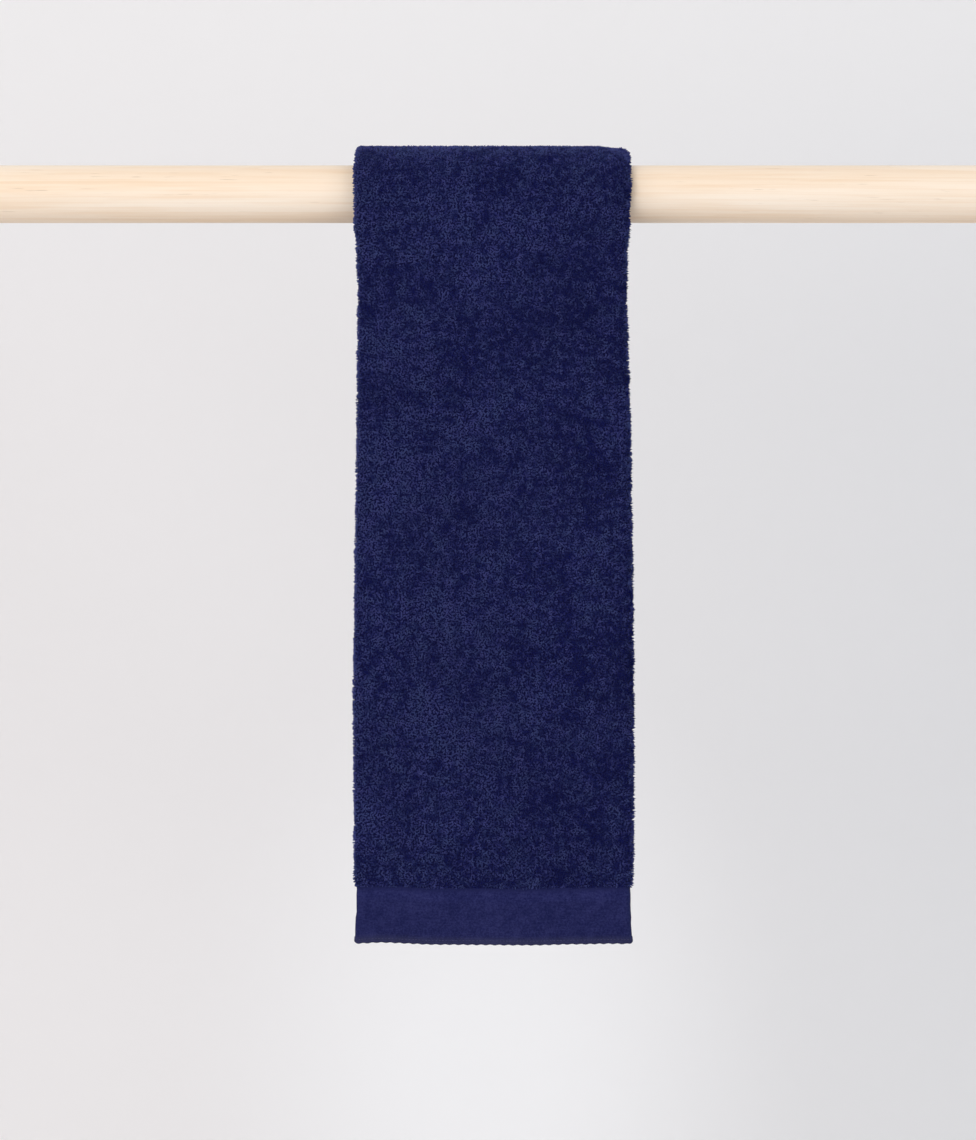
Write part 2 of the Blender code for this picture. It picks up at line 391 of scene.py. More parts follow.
def folded(part, along):
    """A point of the folded section's middle line, and its normal, in (across, depth).

    part runs from selvedge to selvedge: 0 to 1 on the middle flap, to 2 round the left fold, to 3 over the
    outer panel, to 4 round the right fold and to 5 on the inner flap.
    """
    left = read(OUTLINE, along, 1)
    right = read(OUTLINE, along, 2)
    for size, wave, left_phase, right_phase in EDGE_WAVES:
        left = left + size * np.sin(2 * np.pi * along / wave + left_phase)
        right = right + size * np.sin(2 * np.pi * along / wave + right_phase)
    left_centre = LEFT_FOLD_RADIUS - left
    right_centre = right - RIGHT_FOLD_RADIUS
    flap_end = right_centre - LEFT_FLAP_SETBACK
    inner_end = RIGHT_FLAP_SETBACK - left
    stretch = np.clip(np.floor(part), 0, 4).astype(int)
    share = part - stretch
    turn = np.pi * share
    nothing, one = np.zeros_like(share), np.ones_like(share)
    across = np.choose(stretch, [
        flap_end + (left_centre - flap_end) * share,
        left_centre - LEFT_FOLD_RADIUS * np.sin(turn),
        left_centre + (right_centre - left_centre) * share,
        right_centre + RIGHT_FOLD_RADIUS * np.sin(turn),
        right_centre + (inner_end - right_centre) * share,
    ])
    depth = np.choose(stretch, [
        2 * LEFT_FOLD_RADIUS * one,
        LEFT_FOLD_RADIUS * (1 + np.cos(turn)),
        nothing,
        RIGHT_FOLD_RADIUS * (1 - np.cos(turn)),
        2 * RIGHT_FOLD_RADIUS * one,
    ])
    aside = np.choose(stretch, [nothing, -np.sin(turn), nothing, np.sin(turn), nothing])
    inward = np.choose(stretch, [one, np.cos(turn), -one, -np.cos(turn), one])
    return across, depth, aside, inward, right


def place(part, along, off):
    """Points of the hung cloth: off is the distance from its middle, out of the side with the loops."""
    across, depth, aside, inward, right = folded(part, along)
    depth = depth * (1 - HEM_CLOSING * ease(1 - from_hem(along) / BAND_LENGTH))
    across = across + aside * off
    depth = depth + inward * off
    radius = OUTER_RADIUS - depth

    over = (along > FRONT_DROP) & (along < BACK_START)
    turn = np.where(over, (along - FRONT_DROP) / OUTER_RADIUS, 0.0)
    pressed = PRESS_DEPTH * ease(1 - (right - across) / PRESS_REACH) * np.sin(turn)
    wrapped = radius - (radius - SEAT_RADIUS) * pressed

    front = along <= FRONT_DROP
    side = np.where(front, -1.0, 1.0)
    under = np.where(front, FRONT_DROP - along, along - BACK_START)
    lean = np.where(front, read(LEAN, under, 1), read(LEAN, under, 2))
    sag = np.where(front, read(HEM_SAG, across, 1), read(HEM_SAG, across, 2))
    drop = (sag - FLAP_RISE * depth / (2 * LAYER_PITCH)) * ease(1 - from_hem(along) / SAG_REACH)
    out = radius + lean + swell(side, across, under)

    y = np.where(over, -wrapped * np.cos(turn), side * out)
    z = np.where(over, wrapped * np.sin(turn), -under - drop)
    return np.stack([TOWEL_MIDDLE + across, y, z], axis=-1)


# lengths of the section's five stretches, for the cloth's own pattern
STRETCHES = (0.2232, math.pi * LEFT_FOLD_RADIUS, 0.2278, math.pi * RIGHT_FOLD_RADIUS, 0.2208)
STARTS = np.concatenate([[0.0], np.cumsum(STRETCHES)])


def unfolded(part):
    """The distance from the first selvedge, across the cloth laid flat."""
    stretch = np.clip(np.floor(part), 0, 4).astype(int)
    return STARTS[stretch] + (part - stretch) * np.array(STRETCHES)[stretch]


def parts_across(steps):
    """Even places on each stretch of the section, with these numbers of steps."""
    places = [np.arange(count) / count + stretch for stretch, count in enumerate(steps)]
    return np.concatenate(places + [[5.0]])


def rounded(distance, reach):
    """The share of the full thickness near a cut or sewn edge, round over its reach."""
    inside = np.clip(distance / reach, 0.0, 1.0)
    return np.sqrt(1 - (1 - inside) ** 2)


def grid_faces(index):
    """The faces of a grid, from the numbers of its points."""
    corners = [index[:-1, :-1], index[:-1, 1:], index[1:, 1:], index[1:, :-1]]
    return np.stack(corners, axis=-1).reshape(-1, 4)


def closed_sheet(name, part, along, outer, inner):
    """A closed sheet over a grid of places: outer and inner are its half thicknesses there."""
    count = part.size
    flat = np.stack([unfolded(part), along], axis=-1).reshape(-1, 2)
    points = np.concatenate([
        place(part, along, outer).reshape(-1, 3),
        place(part, along, -inner).reshape(-1, 3),
    ])
    index = np.arange(count).reshape(part.shape)
    skin = grid_faces(index)
    border = np.concatenate([index[0, :], index[1:, -1], index[-1, -2::-1], index[-2:0:-1, 0]])
    after = np.roll(border, -1)
    rim = np.stack([after, border, border + count, after + count], axis=-1)
    faces = np.concatenate([skin, skin[:, ::-1] + count, rim])
    mesh = bpy.data.meshes.new(name)
    mesh.from_pydata(points.tolist(), [], faces.tolist())
    spread = mesh.uv_layers.new(name="cloth")
    corners = np.empty(len(mesh.loops), dtype=np.int32)
    mesh.loops.foreach_get("vertex_index", corners)
    spread.data.foreach_set("uv", np.concatenate([flat, flat])[corners].ravel())
    mesh.shade_smooth()
    return mesh


GROUND_STEPS = (16, 8, 36, 12, 16)
GROUND_OUT = 0.00110  # under the loops
GROUND_IN = 0.00215
SMOOTH_OUT = 0.00210  # where no loops are made
SEATED_OUT = 0.00235  # on the rod
SELVEDGE_HALF = 0.00100
SELVEDGE_WIDTH = 0.0055
EDGE_ROUND = 0.0015
EDGE_SHARES = (0.0, 0.06, 0.22, 0.5, 1.0)
DROP_STEP = 0.0090
WRAP_STEPS = 36
# the ground under the loops: its navy darkened with painted shade, as it lies in shade between them
SHADED_GROUND_DARK = (0.0030, 0.0036, 0.030, 1.0)
SHADED_GROUND_LIGHT = (0.0090, 0.0108, 0.058, 1.0)
NAP_DARK = (0.0060, 0.0080, 0.060, 1.0)
NAP_LIGHT = (0.0300, 0.0380, 0.150, 1.0)

front_edge = [BAND_LENGTH + EDGE_ROUND * share for share in EDGE_SHARES]
back_edge = [TOWEL_LENGTH - along for along in reversed(front_edge)]


def evenly(first, last, step):
    """Places from first to last, about a step apart, without the two ends."""
    return np.linspace(first, last, max(2, round((last - first) / step)) + 1)[1:-1]


ground_alongs = np.concatenate([
    front_edge,
    evenly(front_edge[-1], FRONT_DROP, DROP_STEP),
    np.linspace(FRONT_DROP, BACK_START, WRAP_STEPS + 1),
    evenly(BACK_START, back_edge[0], DROP_STEP),
    back_edge,
])
selvedge_places = np.array([0.0, 0.0003, 0.001, 0.0022, 0.004, SELVEDGE_WIDTH])
inner_places = 5.0 - selvedge_places[::-1] / STRETCHES[4]
ground_parts = parts_across(GROUND_STEPS)
ground_parts = np.concatenate([
    selvedge_places / STRETCHES[0],
    ground_parts[(ground_parts > 0.03) & (ground_parts < 4.97)],
    inner_places,
])


def ground_halves(part, along):
    """The ground's half thickness out of and into the fold, thinner at the selvedges, round at its ends."""
    looped = ease((part - 0.97) / 0.03) * ease((4.06 - part) / 0.03)
    seated = ease((along - FRONT_DROP + 0.010) / 0.010) * ease((BACK_START + 0.010 - along) / 0.010)
    smooth = SMOOTH_OUT + (SEATED_OUT - SMOOTH_OUT) * seated
    outer = smooth + (GROUND_OUT - smooth) * looped
    inner = np.full_like(outer, GROUND_IN)
    from_edge = np.minimum(unfolded(part), TOWEL_WIDTH - unfolded(part))
    body = ease((from_edge - 0.5 * SELVEDGE_WIDTH) / (0.5 * SELVEDGE_WIDTH))
    outer = SELVEDGE_HALF + (outer - SELVEDGE_HALF) * body
    inner = SELVEDGE_HALF + (inner - SELVEDGE_HALF) * body
    thin = 0.15 + 0.85 * rounded(from_edge, 0.0012)
    end = 0.55 + 0.45 * rounded(from_hem(along) - BAND_LENGTH, EDGE_ROUND)
    return outer * thin * end, inner * thin * end


def terry_ground():
    """The woven ground, darkened with painted shade under the loops, and lighter on the flaps, whose pile
    is in the bump.
    """
    cloth = Shader("terry_ground")
    flat = cloth.stretched(space="UV")
    grain = cloth.noise(flat, 420.0, 3.0, 0.65)
    # painted shade: the ground under the loops is darker than their yarn
    shaded_ground = cloth.mix(cloth.ramp(grain, 0.3, 0.7), SHADED_GROUND_DARK, SHADED_GROUND_LIGHT)
    tufts = cloth.total(0.0, (grain, 0.55), (cloth.noise(flat, 130.0), 0.45))
    nap = cloth.mix(cloth.ramp(tufts, 0.40, 0.62), NAP_DARK, NAP_LIGHT)
    across = cloth.apart(flat)["X"]
    after_flap = cloth.ramp(across, STARTS[1] - 0.008, STARTS[1] - 0.002)
    before_flap = cloth.math("SUBTRACT", 1.0, cloth.ramp(across, STARTS[4] + 0.001, STARTS[4] + 0.006))
    colour = cloth.mix(cloth.math("MULTIPLY", after_flap, before_flap), nap, shaded_ground)
    level = cloth.total(0.82, (cloth.noise(flat, 14.0, 3.0), 0.35))
    cloth.wear(
        cloth.shaded(colour, level),
        Roughness=0.95,
        Specular_IOR_Level=0.03,
        Sheen_Weight=0.08,
        Sheen_Roughness=0.5,
        Sheen_Tint=(0.30, 0.32, 0.55, 1.0),
    )
    curls = cloth.add("ShaderNodeTexVoronoi", Vector=flat, Scale=400.0).outputs["Distance"]
    cloth.bump(cloth.total(grain, (curls, -1.2)), 0.9, 0.0012)
    return cloth.material


ground_part, ground_along = np.meshgrid(ground_parts, ground_alongs)
ground_outer, ground_inner = ground_halves(ground_part, ground_along)
ground_mesh = closed_sheet("towel_ground", ground_part, ground_along, ground_outer, ground_inner)
ground = finished("towel_ground", ground_mesh, terry_ground())
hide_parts("towel")


# The flat bands and their hems
# At each end the towel is woven without loops, as a flat band 48 mm high. Its end is turned over and sewn
# down as a narrow hem, which is thicker than the band and pulled into slight scallops by the stitches.
HEM_LENGTH = 0.0045
BAND_HALF = 0.00100
HEM_HALF = 0.00142
HEM_ROUND = 0.0013
BAND_TUCK = 0.0030  # the band runs on inside the terry's edge
SCALLOP = 0.00035
SCALLOP_WAVE = 0.0078
SCALLOP_FADE = 0.006
STITCH_LINE = 0.0030
STITCH_GROOVE = 0.00022
GROOVE_HALF = 0.0004
PUCKER = 0.00007
BAND_STEPS = (40, 8, 150, 14, 60)
BAND_DARK = (0.0036, 0.0055, 0.042, 1.0)
BAND_LIGHT = (0.0222, 0.0245, 0.097, 1.0)
# a lighter, greyer colour towards the hem's edge
HEM_EDGE_GREY = (0.030, 0.031, 0.062, 1.0)
# painted shadow that the terry's edge casts on the top of the band
PAINTED_PILE_SHADOW = (0.0075, 0.0095, 0.050, 1.0)
BAND_BODY_STEP = 0.0050
HEM_DROP = 0.0009  # the sewn edge rolls a little below the cut length


def band_alongs():
    """Places along the band from its hem, close together round the hem's edge and its sewn step."""
    edge = HEM_ROUND * np.array([0.0, 0.05, 0.18, 0.40, 0.70, 1.0])
    hem = np.array([0.0020, 0.0028, 0.0036, 0.0041, HEM_LENGTH, 0.0050, 0.0056])
    body = np.append(evenly(hem[-1], BAND_LENGTH + BAND_TUCK, BAND_BODY_STEP), BAND_LENGTH + BAND_TUCK)
    return np.concatenate([edge, hem, body])


def band_half(part, along):
    """Half the band's thickness: thicker at the hem, grooved under its stitches, round at its edges."""
    hem = 1 - ease((along - HEM_LENGTH + 0.0004) / 0.0009)
    groove = STITCH_GROOVE * np.exp(-(((along - STITCH_LINE) / GROOVE_HALF) ** 2))
    half = BAND_HALF + (HEM_HALF - BAND_HALF) * hem - groove
    puckers = PUCKER * np.sin(2 * np.pi * unfolded(part) / (SCALLOP_WAVE / 2)) * hem
    from_edge = np.minimum(unfolded(part), TOWEL_WIDTH - unfolded(part))
    half = (half + puckers) * (0.15 + 0.85 * rounded(from_edge, 0.0010))
    return half * (0.12 + 0.88 * rounded(along, HEM_ROUND))


def band_mesh(name, back):
    """The band as a closed sheet: the same grid, turned end for end for the back."""
    part, along = np.meshgrid(parts_across(BAND_STEPS), band_alongs())
    half = band_half(part, along)
    scallop = SCALLOP * np.sin(2 * np.pi * unfolded(part) / SCALLOP_WAVE) * (1 - ease(along / SCALLOP_FADE))
    along = along + scallop - HEM_DROP * (1 - ease(along / SCALLOP_FADE))
    if back:
        part, along, half = part[::-1], TOWEL_LENGTH - along[::-1], half[::-1]
    return closed_sheet(name, part, along, half, half)


def band_cotton():
    """Flat woven cotton, a little lighter than the terry, with its ribs and yarns in the bump."""
    weave = Shader("band_cotton")
    flat = weave.stretched(space="UV")

    def yarns(direction, count):
        settings = {"wave_type": "BANDS", "bands_direction": direction}
        node = weave.add("ShaderNodeTexWave", settings, Vector=flat, Scale=count, Distortion=0.6)
        return node.outputs["Fac"]

    crossing = weave.math("MULTIPLY", yarns("X", 290.0), yarns("Y", 330.0))
    slub = weave.noise(weave.stretched((60.0, 900.0, 1.0), "UV"), 1.0)
    share = weave.total(
        0.0,
        (crossing, 0.22),
        (slub, 0.20),
        (weave.ramp(weave.noise(flat, 520.0, 3.0, 0.8), 0.32, 0.68), 0.24),
        (weave.ramp(weave.noise(flat, 110.0, 4.0, 0.8), 0.32, 0.68), 0.15),
        (weave.ramp(weave.noise(flat, 24.0, 2.0, 0.6), 0.30, 0.70), 0.07),
    )
    colour = weave.mix(weave.ramp(share, 0.16, 0.68), BAND_DARK, BAND_LIGHT)
    along = weave.apart(flat)["Y"]
    up = weave.math("MINIMUM", along, weave.math("SUBTRACT", TOWEL_LENGTH, along))
    sewn = weave.math("SUBTRACT", 1.0, weave.ramp(up, 0.0012, 0.0085))
    # lighter and greyer towards the hem's edge
    colour = weave.mix(weave.math("MULTIPLY", sewn, 0.50), colour, HEM_EDGE_GREY)
    # painted shadow: the band darkens just below the terry's edge, where the pile overhangs it
    under_pile = weave.ramp(up, BAND_LENGTH - 0.0052, BAND_LENGTH)
    colour = weave.mix(weave.math("MULTIPLY", under_pile, 0.75), colour, PAINTED_PILE_SHADOW)
    level = weave.total(1.0, (weave.ramp(up, 0.034, 0.040), 0.12))
    weave.wear(
        weave.shaded(colour, level),
        Roughness=0.82,
        Specular_IOR_Level=0.07,
        Sheen_Weight=0.06,
        Sheen_Roughness=0.4,
        Sheen_Tint=(0.40, 0.42, 0.62, 1.0),
    )
    weave.bump(weave.total(0.0, (crossing, 0.7), (slub, 0.5)), 0.5, 0.00035)
    return weave.material


band_material = band_cotton()
for name, back in (("front_band", False), ("back_band", True)):
    finished(name, band_mesh(name, back), band_material)


# The hem's stitches
# Each hem is held by one row of lockstitch in navy cotton thread, about 3 mm above the towel's edge. The
# row runs right across the cloth, so it goes round both folds and shows on the inner flap too.
STITCH_PITCH = 0.0029
STITCH_LENGTH = 0.0024
THREAD = 0.00042
THREAD_DARK = (0.013, 0.015, 0.060, 1.0)
THREAD_LIGHT = (0.030, 0.034, 0.120, 1.0)
ROW_STEP = 0.0006


class Repeat(Nodes):
    """A Geometry Nodes tree with named inputs, which makes one small form many times."""

    def __init__(self, name, **inputs):
        super().__init__(bpy.data.node_groups.new(name, "GeometryNodeTree"))
        for label, kind in inputs.items():
            label = label.replace("_", " ")
            self.tree.interface.new_socket(label, in_out="INPUT", socket_type="NodeSocket" + kind)
        self.tree.interface.new_socket("Made", in_out="OUTPUT", socket_type="NodeSocketGeometry")
        self.given = self.add("NodeGroupInput").outputs

    def xyz(self, x, y, z):
        return self.add("ShaderNodeCombineXYZ", X=x, Y=y, Z=z).outputs["Vector"]

    def ended(self, instances):
        """Makes the instances real and smooth, gives them their material, and ends the tree."""
        real = self.add("GeometryNodeRealizeInstances", Geometry=instances).outputs["Geometry"]
        smooth = self.add("GeometryNodeSetShadeSmooth", Geometry=real).outputs["Geometry"]
        worn = self.add("GeometryNodeSetMaterial", Geometry=smooth, Material=self.given["Material"])
        self.add("NodeGroupOutput", Made=worn.outputs["Geometry"])
        return self.tree


def made(name, seed_mesh, tree, values):
    """Runs a tree on a seed mesh and keeps its result as a plain mesh."""
    seed = linked(name + "_seed", seed_mesh)
    modifier = seed.modifiers.new(name, "NODES")
    modifier.node_group = tree
    for item in tree.interface.items_tree:
        if item.in_out == "INPUT" and item.name in values:
            modifier[item.identifier] = values[item.name]
    evaluated = seed.evaluated_get(bpy.context.evaluated_depsgraph_get())
    mesh = bpy.data.meshes.new_from_object(evaluated)
    mesh.name = name
    bpy.data.objects.remove(seed)
    bpy.data.meshes.remove(seed_mesh)
    return finished(name, mesh, values["Material"])


def stitch_tree():
    """A short spindle of thread for each stitch, along a path."""
    inputs = {"Path": "Geometry", "Pitch": "Float", "Length": "Float", "Thread": "Float"}
    row = Repeat("stitches", **inputs, Material="Material")
    given = row.given
    curve = row.add("GeometryNodeMeshToCurve", Mesh=given["Path"]).outputs["Curve"]
    spaced = row.add("GeometryNodeResampleCurve", {"mode": "LENGTH"}, Curve=curve, Length=given["Pitch"])
    tangent = row.add("GeometryNodeInputTangent").outputs["Tangent"]
    along = row.add("FunctionNodeAlignRotationToVector", {"axis": "X"}, Vector=tangent)
    stitch = row.add("GeometryNodeMeshUVSphere", Segments=6, Rings=4, Radius=0.5)
    placed = row.add(
        "GeometryNodeInstanceOnPoints",
        Points=spaced.outputs["Curve"],
        Instance=stitch.outputs["Mesh"],
        Rotation=along.outputs["Rotation"],
        Scale=row.xyz(given["Length"], given["Thread"], given["Thread"]),
    )
    return row.ended(placed.outputs["Instances"])


def thread():
    """Spun cotton thread: navy, with a faint twist in the bump."""
    strand = Shader("navy_thread")
    twist = strand.noise(strand.stretched(), 2600.0)
    strand.wear(strand.mix(twist, THREAD_DARK, THREAD_LIGHT), Roughness=0.6)
    strand.bump(twist, 0.4, 0.0002)
    return strand.material


def stitch_row(name, back):
    """The path of one row of stitches, half sunk in the hem's outer face."""
    part = np.linspace(0.004, 4.996, round(TOWEL_WIDTH / ROW_STEP))
    along = np.full_like(part, STITCH_LINE)
    off = band_half(part, along) + 0.1 * THREAD
    if back:
        along = TOWEL_LENGTH - along
    points = place(part, along, off)
    mesh = bpy.data.meshes.new(name)
    mesh.from_pydata(points.tolist(), [(step, step + 1) for step in range(len(points) - 1)], [])
    return mesh


stitch_nodes = stitch_tree()
stitch_sizes = {"Pitch": STITCH_PITCH, "Length": STITCH_LENGTH, "Thread": THREAD, "Material": thread()}
for name, back in (("front_hem_stitches", False), ("back_hem_stitches", True)):
    path = stitch_row(name + "_path", back)
    made(name, path, stitch_nodes, stitch_sizes)


# The loops of the terry
# Each loop is a turn of soft two-ply cotton yarn that stands about 2 mm out of the ground and curls over.
# They are uncut and washed, so they lie in all directions and hide the ground. They cover the outer panel
# and both folds. The pile of the two flaps is in the ground's own colour and bump.
LOOP_SPACING = 0.00143  # no two loops stand closer
LOOP_DENSITY = 1800000.0  # a square metre, before the spacing thins them
LOOP_SPAN = 0.0029
LOOP_YARN = 0.0016
LOOP_HEIGHT = 0.00115
LOOP_CURL = 0.0006
LOOP_TILT = math.radians(18)
LOOP_LEAN = math.radians(50)
LOOP_SINK = 0.00030
LOOP_RINGS = 2  # with four segments, 8 triangles a loop
LOOP_TWIST = 1.6  # turns of the plies in half a loop
SMALLEST = (0.70, 0.78, 0.76)  # a loop's own share of its span, yarn and height
LARGEST = (1.18, 1.18, 1.14)
TUFT_SIZE = 0.0034
TUFT_LIFT = 0.18
OWN_TONE = 0.13
BRIGHT_TONE = 0.16  # a few loops are much lighter
MEAN_TONE = 0.43
LOOP_DARK = (0.0014, 0.0034, 0.058, 1.0)
LOOP_LIGHT = (0.0400, 0.0508, 0.166, 1.0)
VIOLET_CAST = (1.06, 0.97, 1.08, 1.0)
GREEN_CAST = (0.95, 1.03, 0.98, 1.0)
LEFT_LIFT = 0.36  # loops stand up more where the ground bends round a fold
RIGHT_LIFT = 0.80
CORNER_LIFT = 0.90
TOP_FLATTENED = 0.30  # and less where they are stretched over the rod
PAINTED_FOLD_HIGHLIGHT = 0.42  # painted highlight: the folds' loops are lighter where the light grazes them, the left fold most
# painted highlight on the loops over the top of the rod
PAINTED_TOP_HIGHLIGHT = 0.36
PAINTED_SIDE_LIGHT = 0.22  # painted light: the front drop is lighter on its left and darker on its right, as the light falls from the left
EDGE_CLEAR = 0.0007
PATCH_STEP = 0.004

# the tufts that loops lie in, from small to wide: (times the tuft size, detail, weight in the shade)
TUFTS = (
    (1.0, 0.0, 0.40),
    (2.0, 0.0, 0.35),
    (5.0, 1.0, 0.21),
    (16.0, 1.0, 0.26),
)


def live(sockets, label):
    """The socket of this name that a node's settings leave in use."""
    return next(socket for socket in sockets if socket.enabled and socket.name == label)


def loop_tree():
    """Bent spindles of yarn scattered over the ground, each with its own turn, size and shade."""
    sizes = ("Spacing", "Density", "Span", "Yarn", "Height", "Curl", "Tilt", "Lean", "Tuft_size")
    inputs = dict.fromkeys(sizes, "Float")
    pile = Repeat("terry_loops", Ground="Geometry", **inputs, Rings="Int", Seed="Int", Material="Material")
    given = pile.given

    def carried(label):
        """A value that the ground patch carries at each place."""
        node = pile.add("GeometryNodeInputNamedAttribute", {"data_type": "FLOAT"}, Name=label)
        return live(node.outputs, "Attribute")

    def stored(geometry, label, value, domain):
        settings = {"data_type": "FLOAT", "domain": domain}
        node = pile.add("GeometryNodeStoreNamedAttribute", settings, Geometry=geometry, Name=label)
        pile.put(live(node.inputs, "Value"), value)
        return node.outputs["Geometry"]

    def random_value(kind, low, high, salt):
        seed = pile.math("ADD", given["Seed"], salt)
        node = pile.add("FunctionNodeRandomValue", {"data_type": kind}, Seed=seed)
        pile.put(live(node.inputs, "Min"), low)
        pile.put(live(node.inputs, "Max"), high)
        return live(node.outputs, "Value")

    spots = pile.add(
        "GeometryNodeDistributePointsOnFaces",
        {"distribute_method": "POISSON"},
        Mesh=given["Ground"],
        Distance_Min=given["Spacing"],
        Density_Max=given["Density"],
        Seed=given["Seed"],
    )

    # one spindle along X, bowed upwards and curled to one side
    ball = pile.add("GeometryNodeMeshUVSphere", Segments=4, Rings=given["Rings"], Radius=0.5)
    quarter_turn = (0.0, math.pi / 2, 0.0)
    laid = pile.add("GeometryNodeTransform", Geometry=ball.outputs["Mesh"], Rotation=quarter_turn)
    size = pile.xyz(given["Span"], given["Yarn"], given["Yarn"])
    drawn = pile.add("GeometryNodeTransform", Geometry=laid.outputs["Geometry"], Scale=size)
    here = pile.add("GeometryNodeInputPosition").outputs["Position"]
    axes = pile.apart(here)
    share = pile.math("DIVIDE", pile.math("MULTIPLY", axes["X"], 2.0), given["Span"])
    bow = pile.math("SUBTRACT", 1.0, pile.math("MULTIPLY", share, share))
    rise = pile.math("SUBTRACT", pile.math("MULTIPLY", bow, given["Height"]), LOOP_SINK)
    bend = pile.xyz(0.0, pile.math("MULTIPLY", bow, given["Curl"]), rise)
    bent = pile.add("GeometryNodeSetPosition", Geometry=drawn.outputs["Geometry"], Offset=bend)
    twist = pile.total(pile.math("DIVIDE", axes["Y"], given["Yarn"]), (share, LOOP_TWIST))
    yarn = stored(bent.outputs["Geometry"], "rise", bow, "POINT")
    yarn = stored(yarn, "twist", twist, "POINT")

    def tufts(times, detail):
        """A noise over the cloth: its level, about -1 to 1, and its colour."""
        scale = pile.math("DIVIDE", 1.0, pile.math("MULTIPLY", given["Tuft size"], times))
        noise = pile.add("ShaderNodeTexNoise", Vector=here, Scale=scale, Detail=detail)
        level = pile.math("MULTIPLY", pile.math("SUBTRACT", noise.outputs["Fac"], 0.5), 4.0)
        return level, noise.outputs["Color"]

    # the loops of one tuft lean the same way
    levels, ways = zip(*[tufts(times, detail) for times, detail, weight in TUFTS])
    way = pile.apart(ways[1])
    lean = [pile.math("MULTIPLY", pile.math("SUBTRACT", way[axis], 0.5), given["Lean"]) for axis in "XY"]
    tilt = given["Tilt"]
    back = pile.math("MULTIPLY", tilt, -1.0)
    swung = random_value("FLOAT_VECTOR", pile.xyz(back, back, -math.pi), pile.xyz(tilt, tilt, math.pi), 3)
    rotation = spots.outputs["Rotation"]
    for euler in (pile.xyz(*lean, 0.0), swung):
        turn = pile.add("FunctionNodeEulerToRotation", Euler=euler).outputs["Rotation"]
        settings = {"rotation_space": "LOCAL"}
        turned = pile.add("FunctionNodeRotateRotation", settings, Rotation=rotation, Rotate_By=turn)
        rotation = turned.outputs["Rotation"]
    tall = pile.total(carried("lift"), (levels[1], TUFT_LIFT), (levels[0], TUFT_LIFT))
    own_size = random_value("FLOAT_VECTOR", SMALLEST, LARGEST, 7)
    placed = pile.add(
        "GeometryNodeInstanceOnPoints",
        Points=spots.outputs["Points"],
        Instance=yarn,
        Rotation=rotation,
        Scale=pile.vector("MULTIPLY", own_size, pile.xyz(1.0, 1.0, tall)),
    )

    weights = [weight for times, detail, weight in TUFTS]
    tone = pile.total(0.0, (random_value("FLOAT", -1.0, 1.0, 11), OWN_TONE), *zip(levels, weights))
    bright = pile.math("POWER", random_value("FLOAT", 0.0, 1.0, 13), 7.0)
    tone = pile.total(tone, (bright, BRIGHT_TONE))
    # the ground's carried tone adds painted light on the folds, over the rod and across the front drop
    tone = pile.math("ADD", tone, pile.math("ADD", carried("tone"), MEAN_TONE))
    return pile.ended(stored(placed.outputs["Instances"], "shade", tone, "INSTANCE"))


def loop_cotton():
    """Navy cotton yarn: each loop has its own shade and a soft fuzz of fibres, with painted shade that
    makes it darker at its foot.
    """
    yarn = Shader("loop_cotton")

    def carried(label):
        return yarn.add("ShaderNodeAttribute", {"attribute_name": label}).outputs["Fac"]

    place = yarn.stretched()
    fibre = yarn.noise(place, 2300.0, 2.0, 0.6)
    ply = yarn.math("SINE", yarn.math("MULTIPLY", carried("twist"), 2 * math.pi))
    # painted shade: each loop is darker towards its foot, where its neighbours shade it
    share = yarn.math("SUBTRACT", yarn.total(0.0, (carried("shade"), 0.95), (carried("rise"), 0.16)), 0.055)
    colour = yarn.mix(share, LOOP_DARK, LOOP_LIGHT)
    hue = yarn.ramp(yarn.noise(place, 70.0), 0.34, 0.66)
    colour = yarn.mix(1.0, colour, yarn.mix(hue, VIOLET_CAST, GREEN_CAST), "MULTIPLY")
    level = yarn.total(0.71, (yarn.noise(place, 13.0, 3.0), 0.50), (fibre, 0.20), (ply, 0.05))
    yarn.wear(
        yarn.shaded(colour, level),
        Roughness=0.88,
        Specular_IOR_Level=0.04,
        Sheen_Weight=0.10,
        Sheen_Roughness=0.45,
        Sheen_Tint=(0.40, 0.42, 0.72, 1.0),
    )
    yarn.bump(yarn.total(fibre, (ply, 0.5)), 0.5, 0.0003)
    return yarn.material


